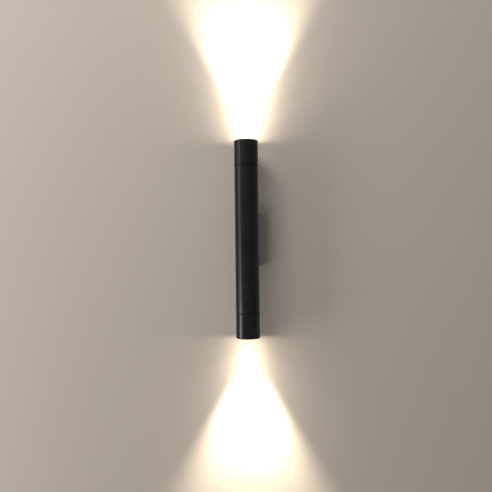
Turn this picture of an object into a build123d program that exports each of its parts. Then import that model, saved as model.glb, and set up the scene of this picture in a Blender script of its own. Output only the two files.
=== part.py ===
from build123d import *
from math import radians, sqrt, tan
import os

# Tube wall light, in millimetres. The origin is the middle of the wall plate's back face, on the wall.
# +X is to the right, +Y into the wall and +Z up along the tube.

# Tube and end collars
tube_wall = 1.5
overall_length = 330.0
collar_length = 41.3
collar_wall = 1.5
seam_gap = 1.0  # shadow gap between the tube and each collar
seam_sink = 0.8  # how deep that gap is
rim_round = 0.6
edge_break = 0.15

# Wall box
box_height = 91.0
box_depth = 18.0
box_wall = 1.8
box_front = 2.2
box_corner = 1.2
box_edge = 0.5
seat_depth = 0.3  # flat milled on the tube's back where it stands on the box

# Wall plate
plate_thickness = 1.5
plate_play = 0.5
plate_corner = 2.0
slot_spacing = 70.0
slot_length = 10.0
slot_width = 4.5
tab_width = 12.0
tab_depth = 12.5
boss_height = 1.5
boss_wall = 1.5

# Fits, all radial or one-sided
thread_play = 0.03
hole_play = 0.1
glue_gap = 0.03
running_play = 0.1

# Threaded ring in each tube end
ring_wall = 2.0
ring_insert = 12.0
spigot_length = 8.5
thread_pitch = 1.5
thread_depth = 0.35

# Front glass and what keeps it in the collar
lip_height = 0.6
lip_width = 1.2
lip_break = 0.25
glass_thickness = 3.0
glass_play = 0.2
glass_break = 0.2
gasket_thickness = 0.8
gasket_width = 1.4
retainer_thickness = 0.8
retainer_inset = 0.5  # depth of its groove in the collar
retainer_width = 2.0
retainer_opening = 16.0  # degrees

# Lamp
lamp_diameter = 35.0
lamp_length = 44.0
lamp_gap = 1.5
lamp_play = 1.0  # all round, inside the collar
lamp_rim_height = 7.0
lamp_wall = 1.4
lamp_waist = 5.0  # how much narrower the neck is than the rim, on each side
lamp_shell_length = 33.0
lamp_neck_length = 6.0
lamp_base_step = 0.5  # and the base than the neck
lamp_base_round = 1.0
base_plug_length = 3.0
board_thickness = 1.6
emitter_radius = 4.0
emitter_height = 1.4
lens_thickness = 2.5
lens_sink = 0.4
lens_foot_radius = 6.0
lens_gap = 0.6

# Pins and lampholder
pin_spacing = 10.0
pin_radius = 1.5
pin_head_radius = 2.5
pin_head_height = 2.2
pin_embed = 3.0
pin_play = 0.2
unlock_turn = 20.0  # degrees from locked to free
holder_play = 1.4  # between the holder and the bracket's legs
holder_height = 15.0
holder_gap = 0.3
holder_top = 2.4
holder_pocket = 6.0
holder_round = 0.8
contact_width = 3.2
contact_thickness = 0.4
contact_gap = 0.3

# Lamp bracket
bracket_thickness = 1.0
bracket_margin = 1.0  # how far the round seat stays inside the holder's edge
leg_width = 8.0
leg_inset = 0.6  # from the ring's bore to the leg's outer face
leg_short = 1.5  # from the tube's end to the leg's tip
bracket_screw_down = 4.7  # from the tube's end
holder_screw_inset = 3.5
lead_slot_width = 5.0

# Screws: shank radius, head radius, head height
small_shank = 1.5
small_head = 2.75
small_head_height = 1.6
head_side = 0.45  # share of a pan head's height that stands straight
head_top = 0.55  # share of its radius that is flat on top
recess_arm = 0.26  # cross recess: width of an arm, as a share of the head's radius
recess_depth = 0.55  # and depth, as a share of the head's height
block_shank = 1.25
block_head = 2.1
big_shank = 2.0
big_head = 3.6
big_head_height = 2.6
holder_screw_length = 6.5
tube_screw_length = 10.0
tube_screw_spacing = 60.0
washer_radius = 4.5
washer_thickness = 0.8
lock_screw_length = 8.0
lock_screw_depth = 8.0
lock_head = 2.8
lock_sink = 0.1
lock_socket = 1.15
lock_socket_depth = 1.2

# Clamp bar and the lead bushing
bar_width = 16.0
bar_length = 76.0
bar_thickness = 4.5
bushing_bore = 4.8
bushing_wall = 1.0
bushing_flange = 1.6
bushing_flange_height = 1.2
bushing_proud = 0.6
bushing_round = 0.4

# Terminal block
block_height = 18.5  # height of its middle above the origin
pole_pitch = 10.0
pole_width = 7.0
block_length = 16.0
block_rise = 12.0
block_base = 4.0
pole_corner = 0.6
wire_height = 4.8
barrel_side = 4.4
barrel_inset = 1.4
barrel_bore = 1.6
clamp_screw_offset = 4.0
clamp_well = 1.9
clamp_screw_sink = 1.5
clamp_head_height = 2.0
clamp_bite = 0.3  # how far the screw's tip reaches into the barrel's bore

# Cable bush in the wall plate
cable_bore = 4.0
cable_bush_wall = 2.0
cable_bush_flange = 1.6
cable_bush_flange_height = 1.2
cable_height = -14.0

# Earth point
earth_x = 12.0
earth_z = -24.0
earth_screw_length = 4.3
earth_ring_radius = 3.8
earth_ring_thickness = 0.8
earth_tongue_width = 3.0
earth_washer_thickness = 0.6
washer_teeth = 10
washer_notch = 0.7
washer_notch_depth = 0.8
crimp_radius = 1.7
crimp_length = 6.0
crimp_start = 5.5
crimp_overlap = 4.0
crimp_floor = 1.0

# Leads
lead_radius = 1.0
lead_pitch = 2.2  # in the bushing, where the four lie side by side
lead_rise = 0.9  # and where two lie above its middle and two below
lead_entry = 2.0
lead_pair = 1.05  # from a barrel's middle to each of the two leads in it

# Worked out from the sizes above
tube_diameter = lamp_diameter + 2 * (lamp_play + collar_wall)
tube_radius = tube_diameter / 2
box_width = tube_diameter
tube_bore = tube_radius - tube_wall
collar_bore = tube_radius - collar_wall
half_length = overall_length / 2
tube_end = half_length - collar_length - seam_gap
axis_out = box_depth + tube_radius - seat_depth
box_inner_depth = box_depth - box_front
ring_radius = tube_bore - glue_gap
ring_bore = tube_bore - ring_wall
spigot_radius = collar_bore - running_play
collar_start = tube_end + seam_gap
glass_top = half_length - lip_height
gasket_top = glass_top - glass_thickness
retainer_top = gasket_top - gasket_thickness
retainer_bottom = retainer_top - retainer_thickness
groove_radius = collar_bore + retainer_inset
lamp_face = retainer_bottom - lamp_gap
lamp_foot = lamp_face - lamp_length
shell_end = lamp_face - lamp_shell_length
holder_face = lamp_foot - holder_gap
holder_back = holder_face - holder_height
bracket_back = holder_back - bracket_thickness
leg_outer = ring_bore - leg_inset
leg_inner = leg_outer - bracket_thickness
holder_radius = leg_inner - holder_play
bracket_radius = holder_radius - bracket_margin
holder_screw_spacing = 2 * (holder_radius - holder_screw_inset)
lamp_neck_radius = lamp_diameter / 2 - lamp_waist
lamp_base_radius = lamp_neck_radius - lamp_base_step
plate_width = box_width - 2 * (box_wall + plate_play)
plate_height = box_height - 2 * (box_wall + plate_play)
wire_depth = plate_thickness + wire_height
barrel_half = block_length / 2 - barrel_inset
bushing_radius = bushing_bore + bushing_wall
bushing_hole = bushing_radius + hole_play
bar_flat = axis_out - tube_bore + glue_gap + bar_thickness

upper_end = Plane((0, -axis_out, 0), x_dir=(1, 0, 0), z_dir=(0, 0, 1))
lower_end = Plane((0, -axis_out, 0), x_dir=(1, 0, 0), z_dir=(0, 0, -1))
ends = {"upper": upper_end, "lower": lower_end}

os.makedirs("parts", exist_ok=True)


def write(piece, name):
    piece.label = name
    export_step(piece, f"parts/{name}.step")


def half_section(place):
    """Plane through the place's axis: sketch x runs outwards, sketch y along the axis."""
    return Plane(place.origin, x_dir=place.x_dir, z_dir=-place.y_dir)


def spin_axis(place):
    return Axis(place.origin, place.z_dir)


def facing_room(x, z, depth):
    """Plane at a depth in front of the wall, looking into the room."""
    return Plane((x, -depth, z), x_dir=(1, 0, 0), z_dir=(0, -1, 0))


def facing_wall(x, z, depth):
    return Plane((x, -depth, z), x_dir=(1, 0, 0), z_dir=(0, 1, 0))


def pan_screws(places, shank, length, head, head_height):
    """Screws whose heads stand on the given planes and point along their normals."""
    with BuildPart() as screws:
        for place in places:
            with BuildSketch(half_section(place)):
                with BuildLine():
                    Polyline((0, head_height), (0, -length), (shank, -length), (shank, 0), (head, 0))
                    Line((head, 0), (head, head_side * head_height))
                    RadiusArc(
                        (head, head_side * head_height),
                        (head_top * head, head_height),
                        (1 - head_top) * head,
                    )
                    Line((head_top * head, head_height), (0, head_height))
                make_face()
            revolve(axis=spin_axis(place))
            with BuildSketch(place.offset(head_height)):
                Rectangle(2 * head_top * head, recess_arm * head)
                Rectangle(recess_arm * head, 2 * head_top * head)
            extrude(amount=-recess_depth * head_height, mode=Mode.SUBTRACT)
    return screws.part


def rings(places, outer, inner, thickness):
    """Flat rings that stand on the given planes."""
    with BuildPart() as flat_rings:
        with BuildSketch(*places):
            Circle(outer)
            Circle(inner, mode=Mode.SUBTRACT)
        extrude(amount=thickness)
    return flat_rings.part


# Wall plate: slotted for the wall screws, with a tab at each end for the box's lock screws
with BuildPart() as wall_plate:
    with BuildSketch(Plane.XZ):
        RectangleRounded(plate_width, plate_height, plate_corner)
    extrude(amount=plate_thickness)
    for side in (1, -1):
        tab_face = Plane((0, 0, side * plate_height / 2), x_dir=(1, 0, 0), z_dir=(0, 0, -side))
        with BuildSketch(tab_face):
            with Locations((0, side * tab_depth / 2)):
                Rectangle(tab_width, tab_depth)
        extrude(amount=plate_thickness)
        with BuildSketch(tab_face):
            with Locations((0, side * lock_screw_depth)):
                Circle(small_shank + thread_play)
        extrude(amount=plate_thickness, mode=Mode.SUBTRACT)
    with BuildSketch(facing_room(earth_x, earth_z, plate_thickness)):
        Circle(big_shank + boss_wall)
    extrude(amount=boss_height)
    with BuildSketch(Plane.XZ):
        with Locations((0, slot_spacing / 2), (0, -slot_spacing / 2)):
            SlotOverall(slot_length, slot_width, rotation=90)
        with Locations((0, cable_height)):
            Circle(cable_bore + cable_bush_wall + hole_play)
        with Locations((earth_x, earth_z)):
            Circle(big_shank + thread_play)
        with Locations((-pole_pitch / 2, block_height), (pole_pitch / 2, block_height)):
            Circle(block_shank + thread_play)
    extrude(amount=plate_thickness + boss_height, mode=Mode.SUBTRACT)
write(wall_plate.part, "wall_plate")

# Wall box: a shell open to the wall, standing over the plate
with BuildPart() as back_box:
    with BuildSketch(Plane.XZ):
        RectangleRounded(box_width, box_height, box_corner)
    extrude(amount=box_depth)
    front_edges = back_box.faces().sort_by(Axis.Y)[0].edges()
    fillet(front_edges, radius=box_edge)
    with BuildSketch(Plane.XZ):
        Rectangle(box_width - 2 * box_wall, box_height - 2 * box_wall)
    extrude(amount=box_inner_depth, mode=Mode.SUBTRACT)
    with BuildSketch(Plane.XZ.offset(box_inner_depth)):
        Circle(bushing_hole)
        with Locations((0, tube_screw_spacing / 2), (0, -tube_screw_spacing / 2)):
            Circle(big_shank + hole_play)
    extrude(amount=box_front, mode=Mode.SUBTRACT)
    for side in (1, -1):
        with Locations(Plane((0, -lock_screw_depth, side * box_height / 2), z_dir=(0, 0, side))):
            CounterSinkHole(
                radius=small_shank + hole_play,
                counter_sink_radius=lock_head + hole_play,
                depth=box_wall + plate_play / 2,
                counter_sink_angle=90,
            )
write(back_box.part, "back_box")

# Countersunk lock screws with a hexagon socket, through the box's top and bottom
with BuildPart() as box_lock_screws:
    for side in (1, -1):
        place = Plane((0, -lock_screw_depth, side * (box_height / 2 - lock_sink)), z_dir=(0, 0, side))
        with BuildSketch(half_section(place)):
            with BuildLine():
                Polyline(
                    (0, 0),
                    (lock_head, 0),
                    (small_shank, small_shank - lock_head),
                    (small_shank, -lock_screw_length),
                    (0, -lock_screw_length),
                    close=True,
                )
            make_face()
        revolve(axis=spin_axis(place))
        with BuildSketch(place):
            RegularPolygon(radius=lock_socket, side_count=6)
        extrude(amount=-lock_socket_depth, mode=Mode.SUBTRACT)
write(box_lock_screws.part, "box_lock_screws")

# Bush that guards the supply cable at the plate's edge
with BuildPart() as cable_bushing:
    with BuildSketch(facing_room(0, cable_height, 0)):
        Circle(cable_bore + cable_bush_wall)
    extrude(amount=plate_thickness)
    with BuildSketch(facing_room(0, cable_height, plate_thickness)):
        Circle(cable_bore + cable_bush_wall + cable_bush_flange)
    extrude(amount=cable_bush_flange_height)
    with BuildSketch(facing_room(0, cable_height, 0)):
        Circle(cable_bore)
    extrude(amount=plate_thickness + cable_bush_flange_height, mode=Mode.SUBTRACT)
write(cable_bushing.part, "cable_bushing")

# Terminal block: three towers on one base, each with a channel for its barrel and two screw wells
pole_places = [(step * pole_pitch, block_height) for step in (-1, 0, 1)]
fixing_places = [(-pole_pitch / 2, block_height), (pole_pitch / 2, block_height)]
clamp_places = [
    (x, block_height + side * clamp_screw_offset) for x, _ in pole_places for side in (1, -1)
]
barrel_depth = wire_depth - barrel_side / 2
with BuildPart() as terminal_block:
    with BuildSketch(Plane.XZ.offset(plate_thickness)):
        with Locations((0, block_height)):
            Rectangle(2 * pole_pitch + pole_width, block_length)
    extrude(amount=block_base)
    with BuildSketch(Plane.XZ.offset(plate_thickness)):
        with Locations(*pole_places):
            RectangleRounded(pole_width, block_length, pole_corner)
    extrude(amount=block_rise)
    with BuildSketch(Plane.XZ.offset(wire_depth - barrel_side / 2 - hole_play)):
        with Locations(*pole_places):
            Rectangle(barrel_side + 2 * hole_play, block_length)
    extrude(amount=barrel_side + 2 * hole_play, mode=Mode.SUBTRACT)
    with BuildSketch(Plane.XZ.offset(wire_depth)):
        with Locations(*clamp_places):
            Circle(clamp_well)
    extrude(amount=block_rise, mode=Mode.SUBTRACT)
    with BuildSketch(Plane.XZ.offset(plate_thickness)):
        with Locations(*fixing_places):
            Circle(block_shank + hole_play)
    extrude(amount=block_rise, mode=Mode.SUBTRACT)
    with BuildSketch(Plane.XZ.offset(plate_thickness + block_base)):
        with Locations(*fixing_places):
            Circle(block_head + 2 * hole_play)
    extrude(amount=block_rise, mode=Mode.SUBTRACT)
write(terminal_block.part, "terminal_block")

# Brass barrels inside the towers
with BuildPart() as terminal_barrels:
    with BuildSketch(Plane.XZ.offset(barrel_depth)):
        with Locations(*pole_places):
            Rectangle(barrel_side, 2 * barrel_half)
    extrude(amount=barrel_side)
    with BuildSketch(Plane.XY.offset(block_height - barrel_half)):
        with Locations(*[(x, -wire_depth) for x, _ in pole_places]):
            Circle(barrel_bore)
    extrude(amount=2 * barrel_half, mode=Mode.SUBTRACT)
    with BuildSketch(Plane.XZ.offset(wire_depth)):
        with Locations(*clamp_places):
            Circle(small_shank + thread_play)
    extrude(amount=barrel_side, mode=Mode.SUBTRACT)
write(terminal_barrels.part, "terminal_barrels")

clamp_seat = plate_thickness + block_rise - clamp_screw_sink - clamp_head_height
clamp_screw_length = clamp_seat - wire_depth - barrel_bore + clamp_bite
terminal_clamp_screws = pan_screws(
    [facing_room(x, z, clamp_seat) for x, z in clamp_places],
    small_shank,
    clamp_screw_length,
    clamp_well - hole_play,
    clamp_head_height,
)
write(terminal_clamp_screws, "terminal_clamp_screws")

fixing_seat = plate_thickness + block_base
terminal_fixing_screws = pan_screws(
    [facing_room(x, z, fixing_seat) for x, z in fixing_places],
    block_shank,
    fixing_seat - lock_sink,
    block_head,
    small_head_height,
)
write(terminal_fixing_screws, "terminal_fixing_screws")

# Earth point: boss, ring terminal, toothed washer and screw
ring_seat = plate_thickness + boss_height
washer_seat = ring_seat + earth_ring_thickness
screw_seat = washer_seat + earth_washer_thickness
crimp_depth = ring_seat + crimp_radius
with BuildPart() as earth_ring_terminal:
    with BuildSketch(facing_room(earth_x, earth_z, ring_seat)):
        Circle(earth_ring_radius)
        with Locations((0, (crimp_start + crimp_floor) / 2)):
            Rectangle(earth_tongue_width, crimp_start + crimp_floor)
        Circle(big_shank + hole_play, mode=Mode.SUBTRACT)
    extrude(amount=earth_ring_thickness)
    crimp_end = Plane((earth_x, -crimp_depth, earth_z + crimp_start), z_dir=(0, 0, 1))
    with BuildSketch(crimp_end):
        Circle(crimp_radius)
    extrude(amount=crimp_length)
    with BuildSketch(crimp_end.offset(crimp_floor)):
        Circle(lead_radius + hole_play)
    extrude(amount=crimp_length, mode=Mode.SUBTRACT)
write(earth_ring_terminal.part, "earth_ring_terminal")

with BuildPart() as earth_washer:
    with BuildSketch(facing_room(earth_x, earth_z, washer_seat)):
        Circle(earth_ring_radius)
        Circle(big_shank + hole_play, mode=Mode.SUBTRACT)
        with PolarLocations(earth_ring_radius, washer_teeth):
            Rectangle(2 * washer_notch_depth, washer_notch, mode=Mode.SUBTRACT)
    extrude(amount=earth_washer_thickness)
write(earth_washer.part, "earth_washer")

earth_screw = pan_screws(
    [facing_room(earth_x, earth_z, screw_seat)],
    big_shank,
    earth_screw_length,
    big_head,
    big_head_height,
)
write(earth_screw, "earth_screw")

# Screws, washers and bar that hold the tube against the box
tube_screw_places = [(0, tube_screw_spacing / 2), (0, -tube_screw_spacing / 2)]
tube_screw_washers = rings(
    [facing_wall(x, z, box_inner_depth) for x, z in tube_screw_places],
    washer_radius,
    big_shank + hole_play,
    washer_thickness,
)
write(tube_screw_washers, "tube_screw_washers")
tube_screws = pan_screws(
    [facing_wall(x, z, box_inner_depth - washer_thickness) for x, z in tube_screw_places],
    big_shank,
    tube_screw_length,
    big_head,
    big_head_height,
)
write(tube_screws, "tube_screws")

with BuildPart() as clamp_bar:
    with BuildSketch(Plane.XY.offset(-bar_length / 2)):
        with Locations((0, -axis_out)):
            Circle(tube_bore - glue_gap)
        with Locations((0, -bar_flat)):
            Rectangle(bar_width, tube_bore, align=(Align.CENTER, Align.MIN), mode=Mode.INTERSECT)
    extrude(amount=bar_length)
    with BuildSketch(Plane.XZ.offset(box_inner_depth)):
        Circle(bushing_hole)
        with Locations(*tube_screw_places):
            Circle(big_shank + thread_play)
    extrude(amount=tube_radius, mode=Mode.SUBTRACT)
write(clamp_bar.part, "clamp_bar")

bushing_length = bar_flat + bushing_proud - box_inner_depth
with BuildPart() as lead_bushing:
    with BuildSketch(facing_wall(0, 0, box_inner_depth)):
        Circle(bushing_radius + bushing_flange)
    extrude(amount=bushing_flange_height)
    with BuildSketch(facing_room(0, 0, box_inner_depth)):
        Circle(bushing_radius)
    extrude(amount=bushing_length)
    with BuildSketch(facing_wall(0, 0, box_inner_depth + bushing_length)):
        Circle(bushing_bore)
    extrude(amount=bushing_length + bushing_flange_height, mode=Mode.SUBTRACT)
    bore_rims = lead_bushing.edges().filter_by(GeomType.CIRCLE).group_by(SortBy.RADIUS)[0]
    fillet(bore_rims, radius=bushing_round)
write(lead_bushing.part, "lead_bushing")

# Tube: a plain pipe with a flat on its back where it stands on the box, drilled for screws and leads
with BuildPart() as tube_body:
    with BuildSketch(upper_end.offset(-tube_end)):
        Circle(tube_radius)
        Circle(tube_bore, mode=Mode.SUBTRACT)
    extrude(amount=2 * tube_end)
    chamfer(tube_body.edges().filter_by(GeomType.CIRCLE).group_by(SortBy.RADIUS)[-1], edge_break)
    with BuildSketch(Plane.XZ):
        Rectangle(box_width, box_height)
    extrude(amount=box_depth, mode=Mode.SUBTRACT)
    with BuildSketch(Plane.XZ.offset(box_depth)):
        Circle(bushing_hole)
        with Locations(*tube_screw_places):
            Circle(big_shank + hole_play)
    extrude(amount=tube_radius, mode=Mode.SUBTRACT)
write(tube_body.part, "tube_body")


def thread_levels(start, length):
    """Heights of the thread's grooves along a stretch, one pitch apart."""
    count = int((length - thread_pitch) / thread_pitch)
    return [start + thread_pitch * (step + 1) for step in range(count)]


def thread_grooves(end, radius, start, length):
    """Sections of the thread's V grooves, centred on the surface of the given radius."""
    with BuildSketch(half_section(end)) as grooves:
        with Locations(*[(radius, level) for level in thread_levels(start, length)]):
            Rectangle(thread_depth * sqrt(2), thread_depth * sqrt(2), rotation=45)
    return grooves.sketch


def make_threaded_ring(end):
    """Ring glued into the tube's end: insert, shoulder in the seam, and threaded spigot."""
    with BuildPart() as ring:
        with BuildSketch(end.offset(tube_end - ring_insert)):
            Circle(ring_radius)
        extrude(amount=ring_insert)
        with BuildSketch(end.offset(tube_end)):
            Circle(tube_radius - seam_sink)
        extrude(amount=seam_gap)
        with BuildSketch(end.offset(collar_start)):
            Circle(spigot_radius)
        extrude(amount=spigot_length)
        with BuildSketch(end.offset(tube_end - ring_insert)):
            Circle(ring_bore)
        extrude(amount=ring_insert + seam_gap + spigot_length, mode=Mode.SUBTRACT)
        grooves = thread_grooves(end, spigot_radius, collar_start, spigot_length)
        revolve(grooves, axis=spin_axis(end), mode=Mode.SUBTRACT)
        screw_level = half_section(end).offset(-tube_radius)
        with BuildSketch(screw_level):
            with Locations((0, tube_end - bracket_screw_down)):
                Circle(small_shank + thread_play)
        extrude(amount=tube_diameter, mode=Mode.SUBTRACT)
    return ring.part


def make_collar(end):
    """Screw-on end collar: lip at the rim, groove for the retaining ring, thread at its mouth."""
    with BuildPart() as collar:
        with BuildSketch(end.offset(collar_start)):
            Circle(tube_radius)
        extrude(amount=collar_length)
        outer_rims = collar.edges().filter_by(GeomType.CIRCLE).sort_by(spin_axis(end))
        fillet(outer_rims[-1], radius=rim_round)
        chamfer(collar.edges().filter_by(GeomType.CIRCLE).sort_by(spin_axis(end))[0], edge_break)
        with BuildSketch(end.offset(collar_start)):
            Circle(collar_bore)
        extrude(amount=collar_length - lip_height, mode=Mode.SUBTRACT)
        with BuildSketch(end.offset(glass_top)):
            Circle(collar_bore - lip_width)
        extrude(amount=lip_height, mode=Mode.SUBTRACT)
        lip_rim = collar.edges().filter_by(GeomType.CIRCLE).group_by(spin_axis(end))[-1]
        chamfer(lip_rim.sort_by(SortBy.RADIUS)[0], lip_break)
        with BuildSketch(end.offset(retainer_bottom - running_play)):
            Circle(groove_radius)
        extrude(amount=retainer_thickness + running_play, mode=Mode.SUBTRACT)
        grooves = thread_grooves(end, collar_bore, collar_start, spigot_length)
        revolve(grooves, axis=spin_axis(end), mode=Mode.SUBTRACT)
    return collar.part


def make_front_glass(end):
    with BuildPart() as glass:
        with BuildSketch(end.offset(gasket_top)):
            Circle(collar_bore - glass_play)
        extrude(amount=glass_thickness)
        chamfer(glass.edges(), glass_break)
    return glass.part


def make_glass_gasket(end):
    outer = collar_bore - glass_play
    return rings([end.offset(retainer_top)], outer, outer - gasket_width, gasket_thickness)


def make_retaining_ring(end):
    """Open spring ring that snaps into the collar's groove under the glass."""
    outer = groove_radius - running_play
    with BuildPart() as ring:
        with BuildSketch(end.offset(retainer_bottom)):
            Circle(outer)
            Circle(outer - retainer_width, mode=Mode.SUBTRACT)
            opening = 2 * outer * tan(radians(retainer_opening / 2))
            with Locations((0, -outer)):
                Rectangle(opening, 4 * retainer_width, mode=Mode.SUBTRACT)
        extrude(amount=retainer_thickness)
    return ring.part


def make_lamp_shell(end):
    """Lamp's body: straight rim, curved waist and neck, hollow inside with a seat for the lens."""
    rim = lamp_diameter / 2
    rim_end = lamp_face - lamp_rim_height
    neck_start = shell_end + lamp_neck_length
    seat_radius = rim - lamp_wall
    seat_level = lamp_face - lens_sink - lens_thickness
    with BuildPart() as shell:
        with BuildSketch(half_section(end)):
            with BuildLine():
                Polyline((lamp_neck_radius, neck_start), (lamp_neck_radius, shell_end))
                Line((lamp_neck_radius, shell_end), (lamp_neck_radius - lamp_wall, shell_end))
                inner_neck = (lamp_neck_radius - lamp_wall, neck_start)
                inner_rim = (seat_radius - lamp_wall, rim_end)
                Line((lamp_neck_radius - lamp_wall, shell_end), inner_neck)
                Line(inner_neck, inner_rim)
                Polyline(
                    inner_rim,
                    (seat_radius - lamp_wall, seat_level),
                    (seat_radius, seat_level),
                    (seat_radius, lamp_face),
                    (rim, lamp_face),
                    (rim, rim_end),
                )
                Spline(
                    (rim, rim_end),
                    (lamp_neck_radius, neck_start),
                    tangents=[(0, -1), (0, -1)],
                )
            make_face()
        revolve(axis=spin_axis(end))
    return shell.part


def make_lamp_lens(end):
    """Lens with a flat front and a cone that reaches down towards the light source."""
    front = lamp_face - lens_sink
    foot = shell_end + base_plug_length + board_thickness + emitter_height + lens_gap
    edge = lamp_diameter / 2 - lamp_wall - hole_play
    throat = edge - 2 * lamp_wall
    with BuildPart() as lens:
        with BuildSketch(half_section(end)):
            with BuildLine():
                Polyline(
                    (0, front),
                    (edge, front),
                    (edge, front - lens_thickness),
                    (throat, front - lens_thickness),
                    (throat - lamp_wall, lamp_face - lamp_rim_height),
                    (lens_foot_radius, foot),
                    (0, foot),
                    close=True,
                )
            make_face()
        revolve(axis=spin_axis(end))
    return lens.part


def make_lamp_board(end):
    """Light source board that stands on the base's plug."""
    with BuildPart() as board:
        with BuildSketch(end.offset(shell_end + base_plug_length)):
            Circle(lamp_neck_radius - lamp_wall - hole_play)
        extrude(amount=board_thickness)
        with BuildSketch(end.offset(shell_end + base_plug_length + board_thickness)):
            Circle(emitter_radius)
        extrude(amount=emitter_height)
    return board.part


def make_lamp_base(end):
    """Lamp's foot, with a plug up into the shell and two holes for the pins."""
    with BuildPart() as base:
        with BuildSketch(end.offset(lamp_foot)):
            Circle(lamp_base_radius)
        extrude(amount=shell_end - lamp_foot)
        fillet(base.edges().filter_by(GeomType.CIRCLE).sort_by(spin_axis(end))[0], lamp_base_round)
        with BuildSketch(end.offset(shell_end)):
            Circle(lamp_neck_radius - lamp_wall - hole_play)
        extrude(amount=base_plug_length)
        with BuildSketch(end.offset(lamp_foot)):
            with Locations((-pin_spacing / 2, 0), (pin_spacing / 2, 0)):
                Circle(pin_radius + thread_play)
        extrude(amount=pin_embed, mode=Mode.SUBTRACT)
    return base.part


def make_lamp_pins(end):
    """Two headed pins that hook under the lampholder's top."""
    head_top = holder_face - holder_top - pin_play
    with BuildPart() as pins:
        with BuildSketch(end.offset(head_top)):
            with Locations((-pin_spacing / 2, 0), (pin_spacing / 2, 0)):
                Circle(pin_radius)
        extrude(amount=lamp_foot + pin_embed - head_top)
        with BuildSketch(end.offset(head_top - pin_head_height)):
            with Locations((-pin_spacing / 2, 0), (pin_spacing / 2, 0)):
                Circle(pin_head_radius)
        extrude(amount=pin_head_height)
    return pins.part


# Arcs that the two pins travel, from the locked place to the free one
pin_tracks = [CenterArc((0, 0), pin_spacing / 2, start, unlock_turn) for start in (0, 180)]


def make_lampholder(end):
    """Ceramic twist-lock holder: keyholes through its top, a pocket under each, wire and screw holes."""
    head_room = pin_head_radius + 2 * pin_play
    pocket_floor = holder_face - holder_top - holder_pocket
    with BuildPart() as holder:
        with BuildSketch(end.offset(holder_back)):
            Circle(holder_radius)
        extrude(amount=holder_height)
        fillet(holder.edges().filter_by(GeomType.CIRCLE).sort_by(spin_axis(end))[-1], holder_round)
        with BuildSketch(end.offset(holder_face - holder_top)):
            for track in pin_tracks:
                SlotArc(track, 2 * (pin_radius + pin_play))
            with PolarLocations(pin_spacing / 2, 2, start_angle=unlock_turn):
                Circle(head_room)
        extrude(amount=holder_top, mode=Mode.SUBTRACT)
        with BuildSketch(end.offset(pocket_floor)):
            for track in pin_tracks:
                SlotArc(track, 2 * head_room)
        extrude(amount=holder_pocket, mode=Mode.SUBTRACT)
        with BuildSketch(end.offset(holder_back)):
            with Locations((-pin_spacing / 2, 0), (pin_spacing / 2, 0)):
                Circle(lead_radius + 2 * hole_play)
        extrude(amount=pocket_floor - holder_back, mode=Mode.SUBTRACT)
        with BuildSketch(end.offset(holder_back)):
            with Locations((0, -holder_screw_spacing / 2), (0, holder_screw_spacing / 2)):
                Circle(small_shank + thread_play)
        extrude(amount=holder_screw_length, mode=Mode.SUBTRACT)
    return holder.part


def make_lamp_bracket(end):
    """Sheet bracket: a round seat behind the holder and two legs up to the threaded ring."""
    leg_top = tube_end - leg_short
    with BuildPart() as bracket:
        with BuildSketch(end.offset(bracket_back)):
            Circle(bracket_radius)
            Rectangle(leg_width, 2 * leg_outer)
            SlotOverall(pin_spacing + lead_slot_width, lead_slot_width, mode=Mode.SUBTRACT)
            with Locations((0, -holder_screw_spacing / 2), (0, holder_screw_spacing / 2)):
                Circle(small_shank + hole_play, mode=Mode.SUBTRACT)
        extrude(amount=bracket_thickness)
        with BuildSketch(end.offset(bracket_back)):
            for side in (-1, 1):
                with Locations((0, side * (leg_outer + leg_inner) / 2)):
                    Rectangle(leg_width, bracket_thickness)
        extrude(amount=leg_top - bracket_back)
        with BuildSketch(half_section(end).offset(-tube_radius)):
            with Locations((0, tube_end - bracket_screw_down)):
                Circle(small_shank + hole_play)
        extrude(amount=tube_diameter, mode=Mode.SUBTRACT)
    return bracket.part


for name, end in ends.items():
    write(make_threaded_ring(end), f"{name}_threaded_ring")
    write(make_collar(end), f"{name}_collar")
    write(make_front_glass(end), f"{name}_front_glass")
    write(make_glass_gasket(end), f"{name}_glass_gasket")
    write(make_retaining_ring(end), f"{name}_retaining_ring")
    write(make_lamp_shell(end), f"{name}_lamp_shell")
    write(make_lamp_lens(end), f"{name}_lamp_lens")
    write(make_lamp_board(end), f"{name}_lamp_board")
    write(make_lamp_base(end), f"{name}_lamp_base")
    write(make_lamp_pins(end), f"{name}_lamp_pins")
    write(make_lampholder(end), f"{name}_lampholder")
    write(make_lamp_bracket(end), f"{name}_lamp_bracket")

# Spring contacts in the holders' pockets, bent back over themselves under each pin
contact_floor = holder_face - holder_top - holder_pocket
contact_top = holder_face - holder_top - pin_play - pin_head_height - contact_gap
with BuildPart() as holder_contacts:
    for end in ends.values():
        with BuildSketch(half_section(end).offset(-contact_width / 2)):
            for side in (-1, 1):
                middle = side * pin_spacing / 2
                with BuildLine():
                    Polyline(
                        (middle - side * contact_width / 2, contact_floor + contact_thickness / 2),
                        (middle + side * contact_width / 2, contact_floor + contact_thickness / 2),
                        (middle + side * contact_width / 2, contact_top - contact_thickness / 2),
                        (middle - side * contact_width / 2, contact_top - contact_thickness / 2),
                    )
                    offset(amount=contact_thickness / 2)
                make_face()
        extrude(amount=contact_width)
write(holder_contacts.part, "holder_contacts")

# Screws from the bracket's back up into the holders
holder_screw_seats = [
    Plane(end.offset(bracket_back).from_local_coords((0, side * holder_screw_spacing / 2, 0)),
          x_dir=end.x_dir, z_dir=-end.z_dir)
    for end in ends.values()
    for side in (-1, 1)
]
holder_screws = pan_screws(
    holder_screw_seats, small_shank, holder_screw_length, small_head, small_head_height
)
write(holder_screws, "holder_screws")

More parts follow.
